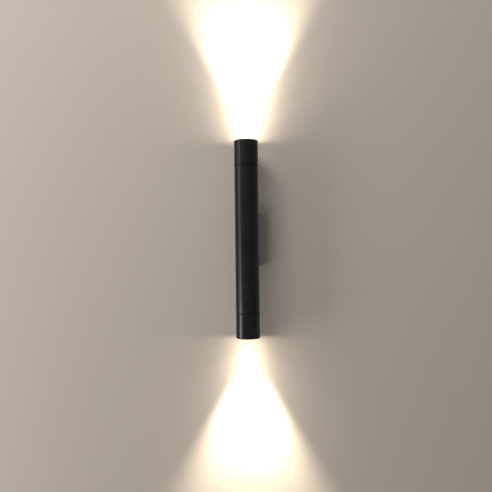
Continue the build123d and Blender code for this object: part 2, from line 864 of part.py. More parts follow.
# Screws from inside the bracket's legs out into the threaded rings
bracket_screw_seats = [
    Plane(end.offset(tube_end - bracket_screw_down).from_local_coords((0, side * leg_inner, 0)),
          x_dir=end.x_dir, z_dir=-side * end.y_dir)
    for end in ends.values()
    for side in (-1, 1)
]
bracket_screws = pan_screws(
    bracket_screw_seats,
    small_shank,
    ring_radius - leg_inner - hole_play,
    small_head,
    small_head_height,
)
write(bracket_screws, "bracket_screws")


def between(a, b, share):
    return a + (b - a) * share


def make_lead(name, points):
    """Round lead along straight runs joined by arcs as large as the runs allow."""
    points = [Vector(*point) for point in points]
    runs = [b - a for a, b in zip(points, points[1:])]
    radii = [
        0.45 * min(a.length, b.length) / tan(radians(a.get_angle(b)) / 2)
        for a, b in zip(runs, runs[1:])
    ]
    with BuildPart() as lead:
        with BuildLine() as route:
            FilletPolyline(*points, radius=radii)
        with BuildSketch(Plane(points[0], z_dir=runs[0])):
            Circle(lead_radius)
        sweep()
    length = sum(edge.length for edge in route.edges())
    print(name, "length", round(length, 1), "arc radii", [round(radius, 1) for radius in radii])
    return lead.part


def tube_lead_route(start_x, bushing_x, end_x, direction):
    """From a barrel in the block, through the bushing into the tube, then up or down to a holder."""
    start_z = block_height - barrel_half
    mouth = holder_back + lead_entry
    climb = direction * holder_back
    return [
        (start_x, -wire_depth, start_z),
        (start_x, -wire_depth, between(start_z, 0, 0.45) + direction * 0.2),
        (
            between(start_x, bushing_x, 0.31),
            -between(wire_depth, box_inner_depth, 0.24),
            between(start_z, 0, 0.77) + direction * 0.4,
        ),
        (
            between(start_x, bushing_x, 0.88),
            -between(wire_depth, box_inner_depth, 0.6),
            between(start_z, 0, 0.97) + direction * lead_rise,
        ),
        (bushing_x, -box_depth + 0.5, direction * lead_rise),
        (bushing_x, -bar_flat - 1.8, direction * (lead_rise + 0.1)),
        (bushing_x, -bar_flat - 7.3, direction * (lead_rise + 2.2)),
        (between(bushing_x, end_x, 0.25), -bar_flat - 11.6, direction * 7.4),
        (between(bushing_x, end_x, 0.55), -axis_out - 0.4, climb * 0.17),
        (between(bushing_x, end_x, 0.8), -axis_out - 1.4, climb * 0.34),
        (between(bushing_x, end_x, 0.9), -axis_out - 0.6, climb * 0.58),
        (end_x, -axis_out + 0.3, climb * 0.8),
        (end_x, -axis_out, climb * 0.94),
        (end_x, -axis_out, direction * mouth),
    ]


# Leads, from left to right in the bushing: lower live, upper live, lower neutral, upper neutral
live_x = -pole_pitch
lead_ends = {
    "lower_live_lead": (live_x - lead_pair, -1.5 * lead_pitch, -pin_spacing / 2, -1),
    "upper_live_lead": (live_x + lead_pair, -0.5 * lead_pitch, -pin_spacing / 2, 1),
    "lower_neutral_lead": (-lead_pair, 0.5 * lead_pitch, pin_spacing / 2, -1),
    "upper_neutral_lead": (lead_pair, 1.5 * lead_pitch, pin_spacing / 2, 1),
}
for name, ends_of_lead in lead_ends.items():
    write(make_lead(name, tube_lead_route(*ends_of_lead)), name)

crimp_mouth = earth_z + crimp_start + crimp_length
earth_route = [
    (pole_pitch, -wire_depth, block_height - barrel_half),
    (pole_pitch, -wire_depth, block_height - barrel_half - 4.4),
    (between(pole_pitch, earth_x, 0.5), -wire_depth - 1.2, between(crimp_mouth, 6.0, 0.55)),
    (earth_x, -crimp_depth - 0.6, between(crimp_mouth, 6.0, 0.24)),
    (earth_x, -crimp_depth, crimp_mouth + 0.4),
    (earth_x, -crimp_depth, crimp_mouth - crimp_overlap),
]
write(make_lead("earth_lead", earth_route), "earth_lead")
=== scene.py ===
import bpy
import bmesh
import math
from mathutils import Matrix, Vector


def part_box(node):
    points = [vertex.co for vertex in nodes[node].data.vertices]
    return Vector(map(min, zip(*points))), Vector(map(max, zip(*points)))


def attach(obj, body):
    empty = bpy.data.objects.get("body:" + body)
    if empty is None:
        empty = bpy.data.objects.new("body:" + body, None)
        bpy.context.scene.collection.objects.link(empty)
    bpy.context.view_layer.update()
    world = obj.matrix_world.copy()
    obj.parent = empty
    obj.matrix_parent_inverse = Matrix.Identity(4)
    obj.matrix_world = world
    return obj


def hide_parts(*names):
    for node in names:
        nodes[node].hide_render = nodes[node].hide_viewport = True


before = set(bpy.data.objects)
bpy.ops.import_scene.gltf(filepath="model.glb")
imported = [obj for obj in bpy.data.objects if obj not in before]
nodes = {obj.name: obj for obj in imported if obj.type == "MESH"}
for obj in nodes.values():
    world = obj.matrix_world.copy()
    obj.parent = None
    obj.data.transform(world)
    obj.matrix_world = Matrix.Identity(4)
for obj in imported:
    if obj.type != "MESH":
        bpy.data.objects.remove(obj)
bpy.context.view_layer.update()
mm = 0.001
tubeLow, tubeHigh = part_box("tube_body")
collarLow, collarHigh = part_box("upper_collar")
ringLow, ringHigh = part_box("upper_threaded_ring")
glassLow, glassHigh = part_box("upper_front_glass")
lensLow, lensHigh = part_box("upper_lamp_lens")
boxLow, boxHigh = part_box("back_box")
tubeAxisY = (tubeLow.y + collarHigh.y) / 2  # the tube's own middle
tubeRadius = (collarHigh.x - collarLow.x) / 2
tubeEnd = tubeHigh.z
collarStart = collarLow.z  # the seam lies between the tube's end and here
rimZ = collarHigh.z
ends = {"upper": 1, "lower": -1}
print("frame:", len(nodes), "nodes, tube radius", round(tubeRadius / mm, 2))


# shader maths: a wire is one output socket that takes part in sums
class Wire:
    def __init__(self, finish, socket):
        self.finish = finish
        self.socket = socket

    def join(self, operation, first, second=0.0, clamped=False):
        settings = {"operation": operation, "use_clamp": clamped}
        return self.finish.node("Math", settings, {0: first, 1: second})

    def __add__(self, other):
        return self.join("ADD", self, other)

    def __radd__(self, other):
        return self.join("ADD", other, self)

    def __sub__(self, other):
        return self.join("SUBTRACT", self, other)

    def __rsub__(self, other):
        return self.join("SUBTRACT", other, self)

    def __mul__(self, other):
        return self.join("MULTIPLY", self, other)

    def __rmul__(self, other):
        return self.join("MULTIPLY", other, self)

    def __truediv__(self, other):
        return self.join("DIVIDE", self, other)

    def __pow__(self, other):
        return self.join("POWER", self, other)

    def __abs__(self):
        return self.join("ABSOLUTE", self)

    def least(self, other):
        return self.join("MINIMUM", self, other)

    def most(self, other):
        return self.join("MAXIMUM", self, other)

    def kept(self):
        return self.join("ADD", self, 0.0, True)  # held between 0 and 1

    def wave(self):
        return self.join("SINE", self)

    def step(self, low, high):  # 0 below low, 1 above high, smooth between
        settings = {"interpolation_type": "SMOOTHSTEP", "clamp": True}
        return self.finish.node("MapRange", settings, {0: self, 1: low, 2: high, 3: 0.0, 4: 1.0})


class Finish:
    def __init__(self, name):
        self.material = bpy.data.materials.new(name)
        self.material.use_nodes = True
        self.tree = self.material.node_tree
        self.tree.nodes.clear()
        self.place = None

    def node(self, kind, settings=None, inputs=None, output=0):
        made = self.tree.nodes.new("ShaderNode" + kind)
        for key, value in (settings or {}).items():
            setattr(made, key, value)
        for key, value in (inputs or {}).items():
            self.feed(made.inputs[key], value)
        return Wire(self, made.outputs[output]) if made.outputs else None

    def feed(self, socket, value):
        if isinstance(value, Wire):
            self.tree.links.new(value.socket, socket)
        elif socket.type == "RGBA":
            socket.default_value = (*value, 1.0)
        else:
            socket.default_value = value

    def where(self):  # Object coordinates, in metres
        if self.place is None:
            self.place = self.node("TexCoord", output="Object")
        return self.place

    def axes(self):
        split = self.node("SeparateXYZ", None, {0: self.where()})
        return [Wire(self, out) for out in split.socket.node.outputs]

    def stretched(self, scale):
        return self.node("Mapping", None, {"Vector": self.where(), "Scale": scale})

    def noise(self, size, detail=2.0, vector=None):
        inputs = {"Vector": vector or self.where(), "Scale": 1.0 / size, "Detail": detail}
        return self.node("TexNoise", None, inputs)

    def patches(self, size):  # one random tone for each crystal
        inputs = {"Vector": self.where(), "Scale": 1.0 / size}
        cells = self.node("TexVoronoi", None, inputs, "Color")
        return self.node("SeparateColor", None, {0: cells})

    def blend(self, share, first, second):  # colours, sockets 6 and 7 of the node
        return self.node("Mix", {"data_type": "RGBA"}, {0: share, 6: first, 7: second}, 2)

    def bump(self, height, distance, strength):
        inputs = {"Height": height, "Distance": distance, "Strength": strength}
        return self.node("Bump", None, inputs)

    def done(self, **sockets):
        inputs = {socketNames[key]: value for key, value in sockets.items()}
        shader = self.node("BsdfPrincipled", None, inputs)
        self.node("OutputMaterial", None, {0: shader})
        return self.material


socketNames = {
    "colour": "Base Color",
    "roughness": "Roughness",
    "metallic": "Metallic",
    "normal": "Normal",
    "alpha": "Alpha",
    "specular": "Specular IOR Level",
    "ior": "IOR",
    "glow": "Emission Color",
    "glowStrength": "Emission Strength",
}


# distances that the finishes follow, in metres
def tubeSeam(x, y, z):
    return abs(abs(z) - tubeEnd)


def collarSeam(x, y, z):
    return abs(abs(z) - collarStart)


def fromAxis(x, y):
    out = y - tubeAxisY
    return (x * x + out * out) ** 0.5


rimWidth = 2.7 * mm  # from the collar's outside to the inner edge of its rim


def collarEdges(x, y, z):
    radius = fromAxis(x, y)
    fromRim = rimZ - abs(z)
    outer = fromRim.most(tubeRadius - radius)
    inner = fromRim.most(abs(radius - (tubeRadius - rimWidth)))
    return [outer, inner]


def boxEdges(x, y, z):
    side = boxHigh.x - abs(x)
    top = boxHigh.z - abs(z)
    front = y - boxLow.y
    return [side.most(front), top.most(front), side.most(top)]


# black powder coat, on the tube, the collars and the box
wearLook = {
    "width": 0.4 * mm,
    "ragged": 2.2 * mm,
    "raggedShare": 0.6,
    "fade": 0.55,
    "patch": 5 * mm,
    "patchFrom": 0.42,
    "patchTo": 0.72,
}


def edgeRub(finish, distances):
    # worn mask from the distances to the edges, broken up by noise
    look = wearLook
    nearest = distances[0]
    for distance in distances[1:]:
        nearest = nearest.least(distance)
    ragged = finish.noise(look["ragged"], 4.0)
    worn = 1.0 - (nearest / look["width"] - look["raggedShare"] * ragged).step(0.0, look["fade"])
    return worn * finish.noise(look["patch"]).step(look["patchFrom"], look["patchTo"])


coatLook = {
    "dark": (0.0028, 0.0028, 0.003),
    "light": (0.0052, 0.0051, 0.0052),
    "rubbed": (0.013, 0.0125, 0.012),
    # painted shade: the near-black that the joint takes, standing in for the shade inside the groove
    "seam": (0.0012, 0.0012, 0.0012),
    "seamWidth": 0.5 * mm,
    "seamDull": 0.4,  # added to the roughness
    "roughness": 0.33,
    "cloudSwing": 0.1,
    "grainSwing": 0.08,
    "rubShine": 0.08,
    "specular": 0.26,
    "grain": 0.4 * mm,
    "peel": 1.7 * mm,
    "cloud": 26 * mm,
    "grainTone": 0.35,  # share of the grain in the tone, the rest is the cloud
    "darkBelow": 0.3,
    "lightAbove": 0.7,
    "grainRelief": 0.62,  # share of the grain in the relief, the rest is the peel
    "grainDepth": 0.026 * mm,
    "bump": 0.8,
}


def blackCoat(name, edgesOf=None, seamOf=None):
    look = coatLook
    finish = Finish(name)
    x, y, z = finish.axes()
    grain = finish.noise(look["grain"], 3.0)
    peel = finish.noise(look["peel"], 1.0)
    cloud = finish.noise(look["cloud"], 4.0)
    tone = look["grainTone"] * grain + (1.0 - look["grainTone"]) * cloud
    colour = finish.blend(tone.step(look["darkBelow"], look["lightAbove"]), look["dark"], look["light"])
    roughness = look["roughness"] + look["cloudSwing"] * (cloud - 0.5) + look["grainSwing"] * (grain - 0.5)
    if edgesOf:
        rub = edgeRub(finish, edgesOf(x, y, z)).kept()
        colour = finish.blend(rub, colour, look["rubbed"])
        roughness = roughness - look["rubShine"] * rub
    if seamOf:  # the coat is duller in the joint, and painted shade darkens it there
        seamShadeAndDull = 1.0 - seamOf(x, y, z).step(look["seamWidth"] * 0.5, look["seamWidth"])
        colour = finish.blend(seamShadeAndDull, colour, look["seam"])
        roughness = roughness + look["seamDull"] * seamShadeAndDull
    height = look["grainRelief"] * grain + (1.0 - look["grainRelief"]) * peel
    return finish.done(
        colour=colour,
        roughness=roughness,
        specular=look["specular"],
        normal=finish.bump(height, look["grainDepth"], look["bump"]),
    )


# black anodising, on the threaded rings and the box's screws
anodisedLook = {
    "dark": (0.004, 0.004, 0.0046),
    "light": (0.007, 0.007, 0.0078),
    "roughness": 0.4,
    "turnedSwing": 0.16,
    "smearSwing": 0.1,
    "seamDull": 0.55,
    "seamFrom": 0.5 * mm,
    "seamTo": 0.62 * mm,
    "specular": 0.2,
    "turned": 0.16 * mm,
    "turnedStretch": (0.02, 0.02, 1.0),
    "smear": 7 * mm,
    "depth": 0.012 * mm,
    "bump": 0.6,
}


def anodised():
    look = anodisedLook
    finish = Finish("blackAnodised")
    x, y, z = finish.axes()
    turned = finish.noise(look["turned"], 2.0, finish.stretched(look["turnedStretch"]))
    smear = finish.noise(look["smear"], 3.0)
    colour = finish.blend(smear, look["dark"], look["light"])
    fromSeam = abs(abs(z) - (tubeEnd + collarStart) / 2)
    seamShadeAndDull = 1.0 - fromSeam.step(look["seamFrom"], look["seamTo"])  # the shoulder in the joint: rougher, and darkened there with painted shade
    roughness = look["roughness"] + look["turnedSwing"] * (turned - 0.5) + look["smearSwing"] * (smear - 0.5)
    return finish.done(
        # painted shade in the joint, with the coat's shade colour
        colour=finish.blend(seamShadeAndDull, colour, coatLook["seam"]),
        roughness=(roughness + look["seamDull"] * seamShadeAndDull).kept(),
        specular=look["specular"],
        normal=finish.bump(turned, look["depth"], look["bump"]),
    )


# metals inside
metalLooks = {  # spangle is how much of the tone comes from the crystals of the zinc
    "zincSteel": {
        "colour": (0.5, 0.51, 0.54),
        "tint": (0.41, 0.43, 0.48),
        "roughness": 0.34,
        "crystal": 5 * mm,
        "spangle": 0.4,
    },
    "screwSteel": {
        "colour": (0.56, 0.56, 0.57),
        "tint": (0.46, 0.46, 0.47),
        "roughness": 0.27,
        "crystal": 1.5 * mm,
        "spangle": 0.1,
    },
    "springSteel": {
        "colour": (0.36, 0.36, 0.38),
        "tint": (0.28, 0.28, 0.3),
        "roughness": 0.3,
        "spangle": 0.0,
    },
    "tinned": {
        "colour": (0.62, 0.62, 0.6),
        "tint": (0.5, 0.5, 0.48),
        "roughness": 0.38,
        "crystal": 1.2 * mm,
        "spangle": 0.25,
    },
    "nickel": {
        "colour": (0.66, 0.63, 0.58),
        "tint": (0.58, 0.54, 0.48),
        "roughness": 0.16,
        "spangle": 0.0,
    },
    "brassMetal": {
        "colour": (0.66, 0.46, 0.18),
        "tint": (0.5, 0.32, 0.11),
        "roughness": 0.28,
        "spangle": 0.0,
    },
    "bareAluminium": {
        "colour": (0.6, 0.61, 0.63),
        "tint": (0.5, 0.51, 0.53),
        "roughness": 0.38,
        "spangle": 0.0,
    },
}
metalSurface = {
    "drawn": 0.22 * mm,
    "drawnStretch": (1.0, 1.0, 0.06),
    "smear": 9 * mm,
    "smearSwing": 0.12,
    "drawnSwing": 0.1,
    "toneSwing": 0.06,
    "tintBelow": 0.2,
    "colourAbove": 0.8,
    "depth": 0.01 * mm,
    "bump": 0.5,
}


def metal(name):
    look, surface = metalLooks[name], metalSurface
    finish = Finish(name)
    drawn = finish.noise(surface["drawn"], 3.0, finish.stretched(surface["drawnStretch"]))
    smear = finish.noise(surface["smear"], 4.0)
    tone = smear
    if look["spangle"]:
        tone = look["spangle"] * finish.patches(look["crystal"]) + (1.0 - look["spangle"]) * smear
    bright = tone.step(surface["tintBelow"], surface["colourAbove"])
    roughness = look["roughness"] + surface["smearSwing"] * (smear - 0.5)
    roughness = roughness + surface["drawnSwing"] * (drawn - 0.5) + surface["toneSwing"] * (tone - 0.5)
    return finish.done(
        colour=finish.blend(bright, look["tint"], look["colour"]),
        roughness=roughness,
        metallic=1.0,
        normal=finish.bump(drawn, surface["depth"], surface["bump"]),
    )


# plastics, ceramic, rubber and the leads' insulation
plasticLooks = {
    "terminalPlastic": {
        "colour": (0.74, 0.74, 0.7),
        "tint": (0.66, 0.65, 0.6),
        "roughness": 0.45,
        "grain": 0.3 * mm,
    },
    "lampPlastic": {
        "colour": (0.8, 0.8, 0.77),
        "tint": (0.72, 0.71, 0.67),
        "roughness": 0.38,
        "grain": 0.4 * mm,
    },
    "bushPlastic": {
        "colour": (0.006, 0.006, 0.006),
        "tint": (0.011, 0.011, 0.011),
        "roughness": 0.6,
        "grain": 0.25 * mm,
    },
    "holderCeramic": {
        "colour": (0.8, 0.78, 0.72),
        "tint": (0.7, 0.67, 0.6),
        "roughness": 0.62,
        "grain": 0.5 * mm,
    },
    "siliconeRubber": {
        "colour": (0.66, 0.66, 0.64),
        "tint": (0.58, 0.58, 0.56),
        "roughness": 0.55,
        "grain": 0.6 * mm,
    },
    "liveInsulation": {
        "colour": (0.17, 0.065, 0.025),
        "tint": (0.12, 0.045, 0.018),
        "roughness": 0.46,
        "grain": 0.5 * mm,
    },
    "neutralInsulation": {
        "colour": (0.035, 0.12, 0.42),
        "tint": (0.025, 0.085, 0.32),
        "roughness": 0.46,
        "grain": 0.5 * mm,
    },
}
plasticSurface = {
    "soil": 6 * mm,
    "soilSwing": 0.14,
    "grainSwing": 0.08,
    "cleanBelow": 0.35,
    "soiledAbove": 0.75,
    "depth": 0.012 * mm,
    "bump": 0.6,
}


def moulded(name):
    look, surface = plasticLooks[name], plasticSurface
    finish = Finish(name)
    grain = finish.noise(look["grain"], 2.0)
    soil = finish.noise(surface["soil"], 4.0)
    roughness = look["roughness"] + surface["soilSwing"] * (soil - 0.5)
    roughness = roughness + surface["grainSwing"] * (grain - 0.5)
    soiled = soil.step(surface["cleanBelow"], surface["soiledAbove"])
    return finish.done(
        colour=finish.blend(soiled, look["colour"], look["tint"]),
        roughness=roughness,
        normal=finish.bump(grain, surface["depth"], surface["bump"]),
    )


earthLook = {
    "green": (0.09, 0.3, 0.035),
    "yellow": (0.62, 0.52, 0.03),
    "stripesAcross": 900.0,  # radians for each metre
    "stripesAlong": 260.0,
    "stripeEdge": 0.1,
    "soil": 4 * mm,
    "roughness": 0.44,
    "soilSwing": 0.12,
    "depth": 0.01 * mm,
    "bump": 0.5,
}


def earthInsulation():
    look = earthLook
    finish = Finish("earthInsulation")
    x, y, z = finish.axes()
    wave = (look["stripesAcross"] * x + look["stripesAlong"] * z).wave()
    stripe = wave.step(-look["stripeEdge"], look["stripeEdge"])
    soil = finish.noise(look["soil"], 3.0)
    return finish.done(
        colour=finish.blend(stripe, look["green"], look["yellow"]),
        roughness=look["roughness"] + look["soilSwing"] * (soil - 0.5),
        normal=finish.bump(soil, look["depth"], look["bump"]),
    )


# the lit parts: front glass, lens and board
glassLook = {
    "dark": (0.3, 0.28, 0.25),
    "light": (0.36, 0.34, 0.3),
    "glowMiddle": (1.0, 0.86, 0.66),
    "glowEdge": (0.96, 0.62, 0.34),
    "glowStrength": 0.62,
    "glowFallFrom": 0.45,  # shares of the glass's radius
    "drift": 3 * mm,
    "driftSwing": 0.05,
    "etch": 0.18 * mm,
    "etchSwing": 0.14,
    "roughness": 0.42,
    "alpha": 0.6,
    "rimAlpha": 0.36,  # added where the gasket holds the glass
    "rimFrom": 0.84,
    "rimTo": 0.97,
    "ior": 1.5,
    "depth": 0.012 * mm,
    "bump": 0.7,
}


def frostedGlass():
    look = glassLook
    finish = Finish("frostedGlass")
    x, y, z = finish.axes()
    away = fromAxis(x, y) / glassHigh.x
    etch = finish.noise(look["etch"], 3.0)
    drift = finish.noise(look["drift"], 2.0)
    fall = (away + look["driftSwing"] * (drift - 0.5)).step(look["glowFallFrom"], 1.0)
    return finish.done(
        colour=finish.blend(etch, look["dark"], look["light"]),
        roughness=look["roughness"] + look["etchSwing"] * (etch - 0.5),
        alpha=look["alpha"] + look["rimAlpha"] * away.step(look["rimFrom"], look["rimTo"]),
        glow=finish.blend(fall, look["glowMiddle"], look["glowEdge"]),
        glowStrength=look["glowStrength"],
        normal=finish.bump(etch, look["depth"], look["bump"]),
        ior=look["ior"],
    )


lensLook = {
    "colour": (0.5, 0.49, 0.46),
    "glowMiddle": (1.0, 0.9, 0.72),
    "glowEdge": (1.0, 0.66, 0.34),
    "glowGap": (0.3, 0.12, 0.03),
    "glowStrength": 0.9,
    "glowFallFrom": 0.15,  # share of the lens's radius
    "gapFrom": 0.02 * mm,  # below the cells' tops
    "gapTo": 0.5 * mm,
    "ripple": 0.8 * mm,
    "rippleSwing": 0.1,
    "roughness": 0.12,
    "depth": 0.01 * mm,
    "bump": 0.4,
}


def lensFinish():
    look = lensLook
    finish = Finish("lampLens")
    x, y, z = finish.axes()
    away = fromAxis(x, y) / lensHigh.x
    ripple = finish.noise(look["ripple"], 2.0)
    gap = (lensHigh.z - abs(z)).step(look["gapFrom"], look["gapTo"])  # between the cells less light leaves
    lit = finish.blend(away.step(look["glowFallFrom"], 1.0), look["glowMiddle"], look["glowEdge"])
    return finish.done(
        colour=look["colour"],
        roughness=look["roughness"] + look["rippleSwing"] * ripple,
        glow=finish.blend(gap, lit, look["glowGap"]),
        glowStrength=look["glowStrength"],
        normal=finish.bump(ripple, look["depth"], look["bump"]),
    )


boardLook = {
    "mask": (0.74, 0.73, 0.7),
    "phosphor": (0.78, 0.56, 0.12),
    "phosphorFrom": 3.3 * mm,  # the yellow disc fades out between these radii
    "phosphorTo": 3.6 * mm,
    "soil": 1.4 * mm,
    "soilSwing": 0.2,
    "roughness": 0.4,
    "depth": 0.01 * mm,
    "bump": 0.5,
}


def boardFinish():
    look = boardLook
    finish = Finish("lampBoard")
    x, y, z = finish.axes()
    soil = finish.noise(look["soil"], 3.0)
    phosphor = 1.0 - fromAxis(x, y).step(look["phosphorFrom"], look["phosphorTo"])
    return finish.done(
        colour=finish.blend(phosphor, look["mask"], look["phosphor"]),
        roughness=look["roughness"] + look["soilSwing"] * (soil - 0.5),
        normal=finish.bump(soil, look["depth"], look["bump"]),
    )


finishes = {
    "tubeCoat": blackCoat("tubeCoat", seamOf=tubeSeam),
    "collarCoat": blackCoat("collarCoat", collarEdges, collarSeam),
    "boxCoat": blackCoat("boxCoat", boxEdges),
    "blackAnodised": anodised(),
    "earthInsulation": earthInsulation(),
    "frostedGlass": frostedGlass(),
    "lampLens": lensFinish(),
    "lampBoard": boardFinish(),
}
finishes.update({name: metal(name) for name in metalLooks})
finishes.update({name: moulded(name) for name in plasticLooks})
print("finishes:", len(finishes))

nodeFinishes = {
    "tube_body": "tubeCoat",
    "back_box": "boxCoat",
    "box_lock_screws": "blackAnodised",
    "wall_plate": "zincSteel",
    "cable_bushing": "bushPlastic",
    "lead_bushing": "bushPlastic",
    "terminal_block": "terminalPlastic",
    "terminal_barrels": "brassMetal",
    "holder_contacts": "brassMetal",
    "terminal_clamp_screws": "screwSteel",
    "terminal_fixing_screws": "screwSteel",
    "earth_screw": "screwSteel",
    "earth_washer": "screwSteel",
    "tube_screws": "screwSteel",
    "tube_screw_washers": "screwSteel",
    "holder_screws": "screwSteel",
    "bracket_screws": "screwSteel",
    "earth_ring_terminal": "tinned",
    "earth_lead": "earthInsulation",
    "clamp_bar": "bareAluminium",
}
endFinishes = {
    "collar": "collarCoat",
    "threaded_ring": "blackAnodised",
    "front_glass": "frostedGlass",
    "glass_gasket": "siliconeRubber",
    "retaining_ring": "springSteel",
    "lamp_shell": "lampPlastic",
    "lamp_base": "lampPlastic",
    "lamp_lens": "lampLens",
    "lamp_board": "lampBoard",
    "lamp_pins": "nickel",
    "lampholder": "holderCeramic",
    "lamp_bracket": "zincSteel",
    "live_lead": "liveInsulation",
    "neutral_lead": "neutralInsulation",
}
for end in ends:
    nodeFinishes.update({f"{end}_{part}": finish for part, finish in endFinishes.items()})
for name, node in nodes.items():
    node.data.materials.clear()
    node.data.materials.append(finishes[nodeFinishes[name]])
print("nodes dressed:", len(nodeFinishes))


# new pieces, spun about the tube's axis, with radii and heights in mm
def arc(middle, radius, start, stop, steps):
    points = []
    for step in range(steps + 1):
        angle = math.radians(start + (stop - start) * step / steps)
        points.append((middle[0] + radius * math.cos(angle), middle[1] + radius * math.sin(angle)))
    return points


def spinOutline(shape, outline, steps, sign, closed=True):
    verts = [shape.verts.new((r * mm, tubeAxisY, sign * h * mm)) for r, h in outline]
    pairs = list(zip(verts, verts[1:]))
    if closed:
        pairs.append((verts[-1], verts[0]))
    edges = [shape.edges.new(pair) for pair in pairs]
    bmesh.ops.spin(
        shape,
        geom=verts + edges,
        cent=(0, tubeAxisY, 0),
        axis=(0, 0, 1),
        angle=2 * math.pi,
        steps=steps,
        use_merge=True,
    )


thread = {
    "pitch": 1.5,
    "depth": 0.35,
    "rootHalf": 0.6,  # half the ridge's width where it leaves the metal
    "crestHalf": 0.12,
    "bite": 0.1,  # how far the ridge's foot sits in the metal
    "steps": 96,
}


def spinThread(shape, foot, crest, start, length, sign):
    # a ridge from the foot's radius to the crest's, wound along the axis
    root, tip = thread["rootHalf"], thread["crestHalf"]
    section = [(foot, start - root), (foot, start + root), (crest, start + tip), (crest, start - tip)]
    turns = length / thread["pitch"]
    verts = [shape.verts.new((r * mm, tubeAxisY, sign * h * mm)) for r, h in section]
    face = shape.faces.new(verts)
    bmesh.ops.spin(
        shape,
        geom=[face] + list(face.edges) + verts,
        cent=(0, tubeAxisY, 0),
        axis=(0, 0, sign),
        dvec=(0, 0, sign * thread["pitch"] * mm / thread["steps"]),
        angle=2 * math.pi * turns,
        steps=round(thread["steps"] * turns),
    )


mergeDistance = 0.002 * mm


def finished(shape, name, body, node, finish, slot, sharpAngle=32):
    bmesh.ops.remove_doubles(shape, verts=shape.verts, dist=mergeDistance)
    bmesh.ops.recalc_face_normals(shape, faces=shape.faces)
    limit = math.radians(sharpAngle)
    for edge in shape.edges:
        edge.smooth = len(edge.link_faces) == 2 and edge.calc_face_angle() < limit
    for face in shape.faces:
        face.smooth = True
    mesh = bpy.data.meshes.new(name)
    shape.to_mesh(mesh)
    shape.free()
    piece = bpy.data.objects.new(name, mesh)
    bpy.context.scene.collection.objects.link(piece)
    piece.data.materials.append(finishes[finish])
    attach(piece, body)
    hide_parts(node)


collar = {
    "wall": 1.5,
    "rimRound": 0.6,
    "rimSteps": 8,
    "edgeBreak": 0.15,
    "lipHeight": 0.6,
    "lipWidth": 1.2,
    "lipBreak": 0.25,
    "grooveDepth": 0.5,
    "grooveTop": 4.4,  # below the rim
    "grooveBottom": 5.3,
    "threadLength": 8.5,
    "mouthBreak": 0.3,
    "runOut": 0.4,
    "ridgeFrom": 1.1,  # above the collar's mouth
    "ridgeLength": 6.3,
    "ridgeShort": 0.06,  # the crest stays this far outside the bore
    "steps": 192,
}


def makeCollar(end, sign):
    radius = tubeRadius / mm
    start = collarStart / mm
    rim = rimZ / mm
    bore = radius - collar["wall"]
    lip = bore - collar["lipWidth"]
    root = bore + thread["depth"]
    groove = bore + collar["grooveDepth"]
    grooveTop, grooveBottom = rim - collar["grooveTop"], rim - collar["grooveBottom"]
    threadEnd = start + collar["threadLength"]
    rimRound, edge, lipBreak = collar["rimRound"], collar["edgeBreak"], collar["lipBreak"]
    outline = [(radius - edge, start), (radius, start + edge)]
    outline += arc((radius - rimRound, rim - rimRound), rimRound, 0, 90, collar["rimSteps"])
    outline += [(lip + lipBreak, rim), (lip, rim - lipBreak), (lip, rim - collar["lipHeight"])]
    outline += [(bore, rim - collar["lipHeight"]), (bore, grooveTop), (groove, grooveTop)]
    outline += [(groove, grooveBottom), (bore, grooveBottom), (bore, threadEnd + collar["runOut"])]
    outline += [(root, threadEnd), (root, start + collar["mouthBreak"])]
    outline += [(root + collar["mouthBreak"], start)]
    shape = bmesh.new()
    spinOutline(shape, outline, collar["steps"], sign)
    foot, crest = root + thread["bite"], bore + collar["ridgeShort"]
    spinThread(shape, foot, crest, start + collar["ridgeFrom"], collar["ridgeLength"], sign)
    node = f"{end}_collar"
    finished(shape, f"{end}_end_collar", node, node, "collarCoat", "black_powder_coat")


ring = {
    "insertRadius": 18.47,
    "spigotRadius": 18.4,
    "boreRadius": 16.5,
    "edgeBreak": 0.1,
    "tipBreak": 0.4,
    "ridgeFrom": 1.6,  # above the shoulder
    "ridgeLength": 5.7,
    "steps": 192,
}


def makeThreadedRing(end, sign):
    bore, insert, crest = ring["boreRadius"], ring["insertRadius"], ring["spigotRadius"]
    shoulder = ringHigh.x / mm
    bottom, top = ringLow.z / mm, ringHigh.z / mm
    tubeStop, seamStop = tubeEnd / mm, collarStart / mm
    root = crest - thread["depth"]
    edge, tip = ring["edgeBreak"], ring["tipBreak"]
    outline = [(bore, bottom), (insert, bottom), (insert, tubeStop)]
    outline += [(shoulder - edge, tubeStop), (shoulder, tubeStop + edge)]
    outline += [(shoulder, seamStop - edge), (shoulder - edge, seamStop)]
    outline += [(root, seamStop), (root, top - tip), (root - tip, top)]
    outline += [(bore + edge, top), (bore, top - edge)]
    shape = bmesh.new()
    spinOutline(shape, outline, ring["steps"], sign)
    spinThread(shape, root - thread["bite"], crest, seamStop + ring["ridgeFrom"], ring["ridgeLength"], sign)
    node = f"{end}_threaded_ring"
    finished(shape, f"{end}_screw_ring", "tube_and_box", node, "blackAnodised", "black_anodised")


glass = {"bevel": 0.35, "bevelSteps": 3, "faceRings": (0.66, 0.33), "steps": 128}


def makeFrontGlass(end, sign):
    bottom, top, radius = glassLow.z / mm, glassHigh.z / mm, glassHigh.x / mm
    bevel, steps = glass["bevel"], glass["bevelSteps"]
    outline = [(0, bottom), (radius - bevel, bottom)]
    outline += arc((radius - bevel, bottom + bevel), bevel, -90, 0, steps)[1:]
    outline += arc((radius - bevel, top - bevel), bevel, 0, 90, steps)
    outline += [(radius * share, top) for share in glass["faceRings"]]
    outline += [(0, top)]
    shape = bmesh.new()
    spinOutline(shape, outline, glass["steps"], sign, closed=False)
    names = (f"{end}_glass_disc", f"{end}_glass_unit", f"{end}_front_glass")
    finished(shape, *names, "frostedGlass", "front_glass")


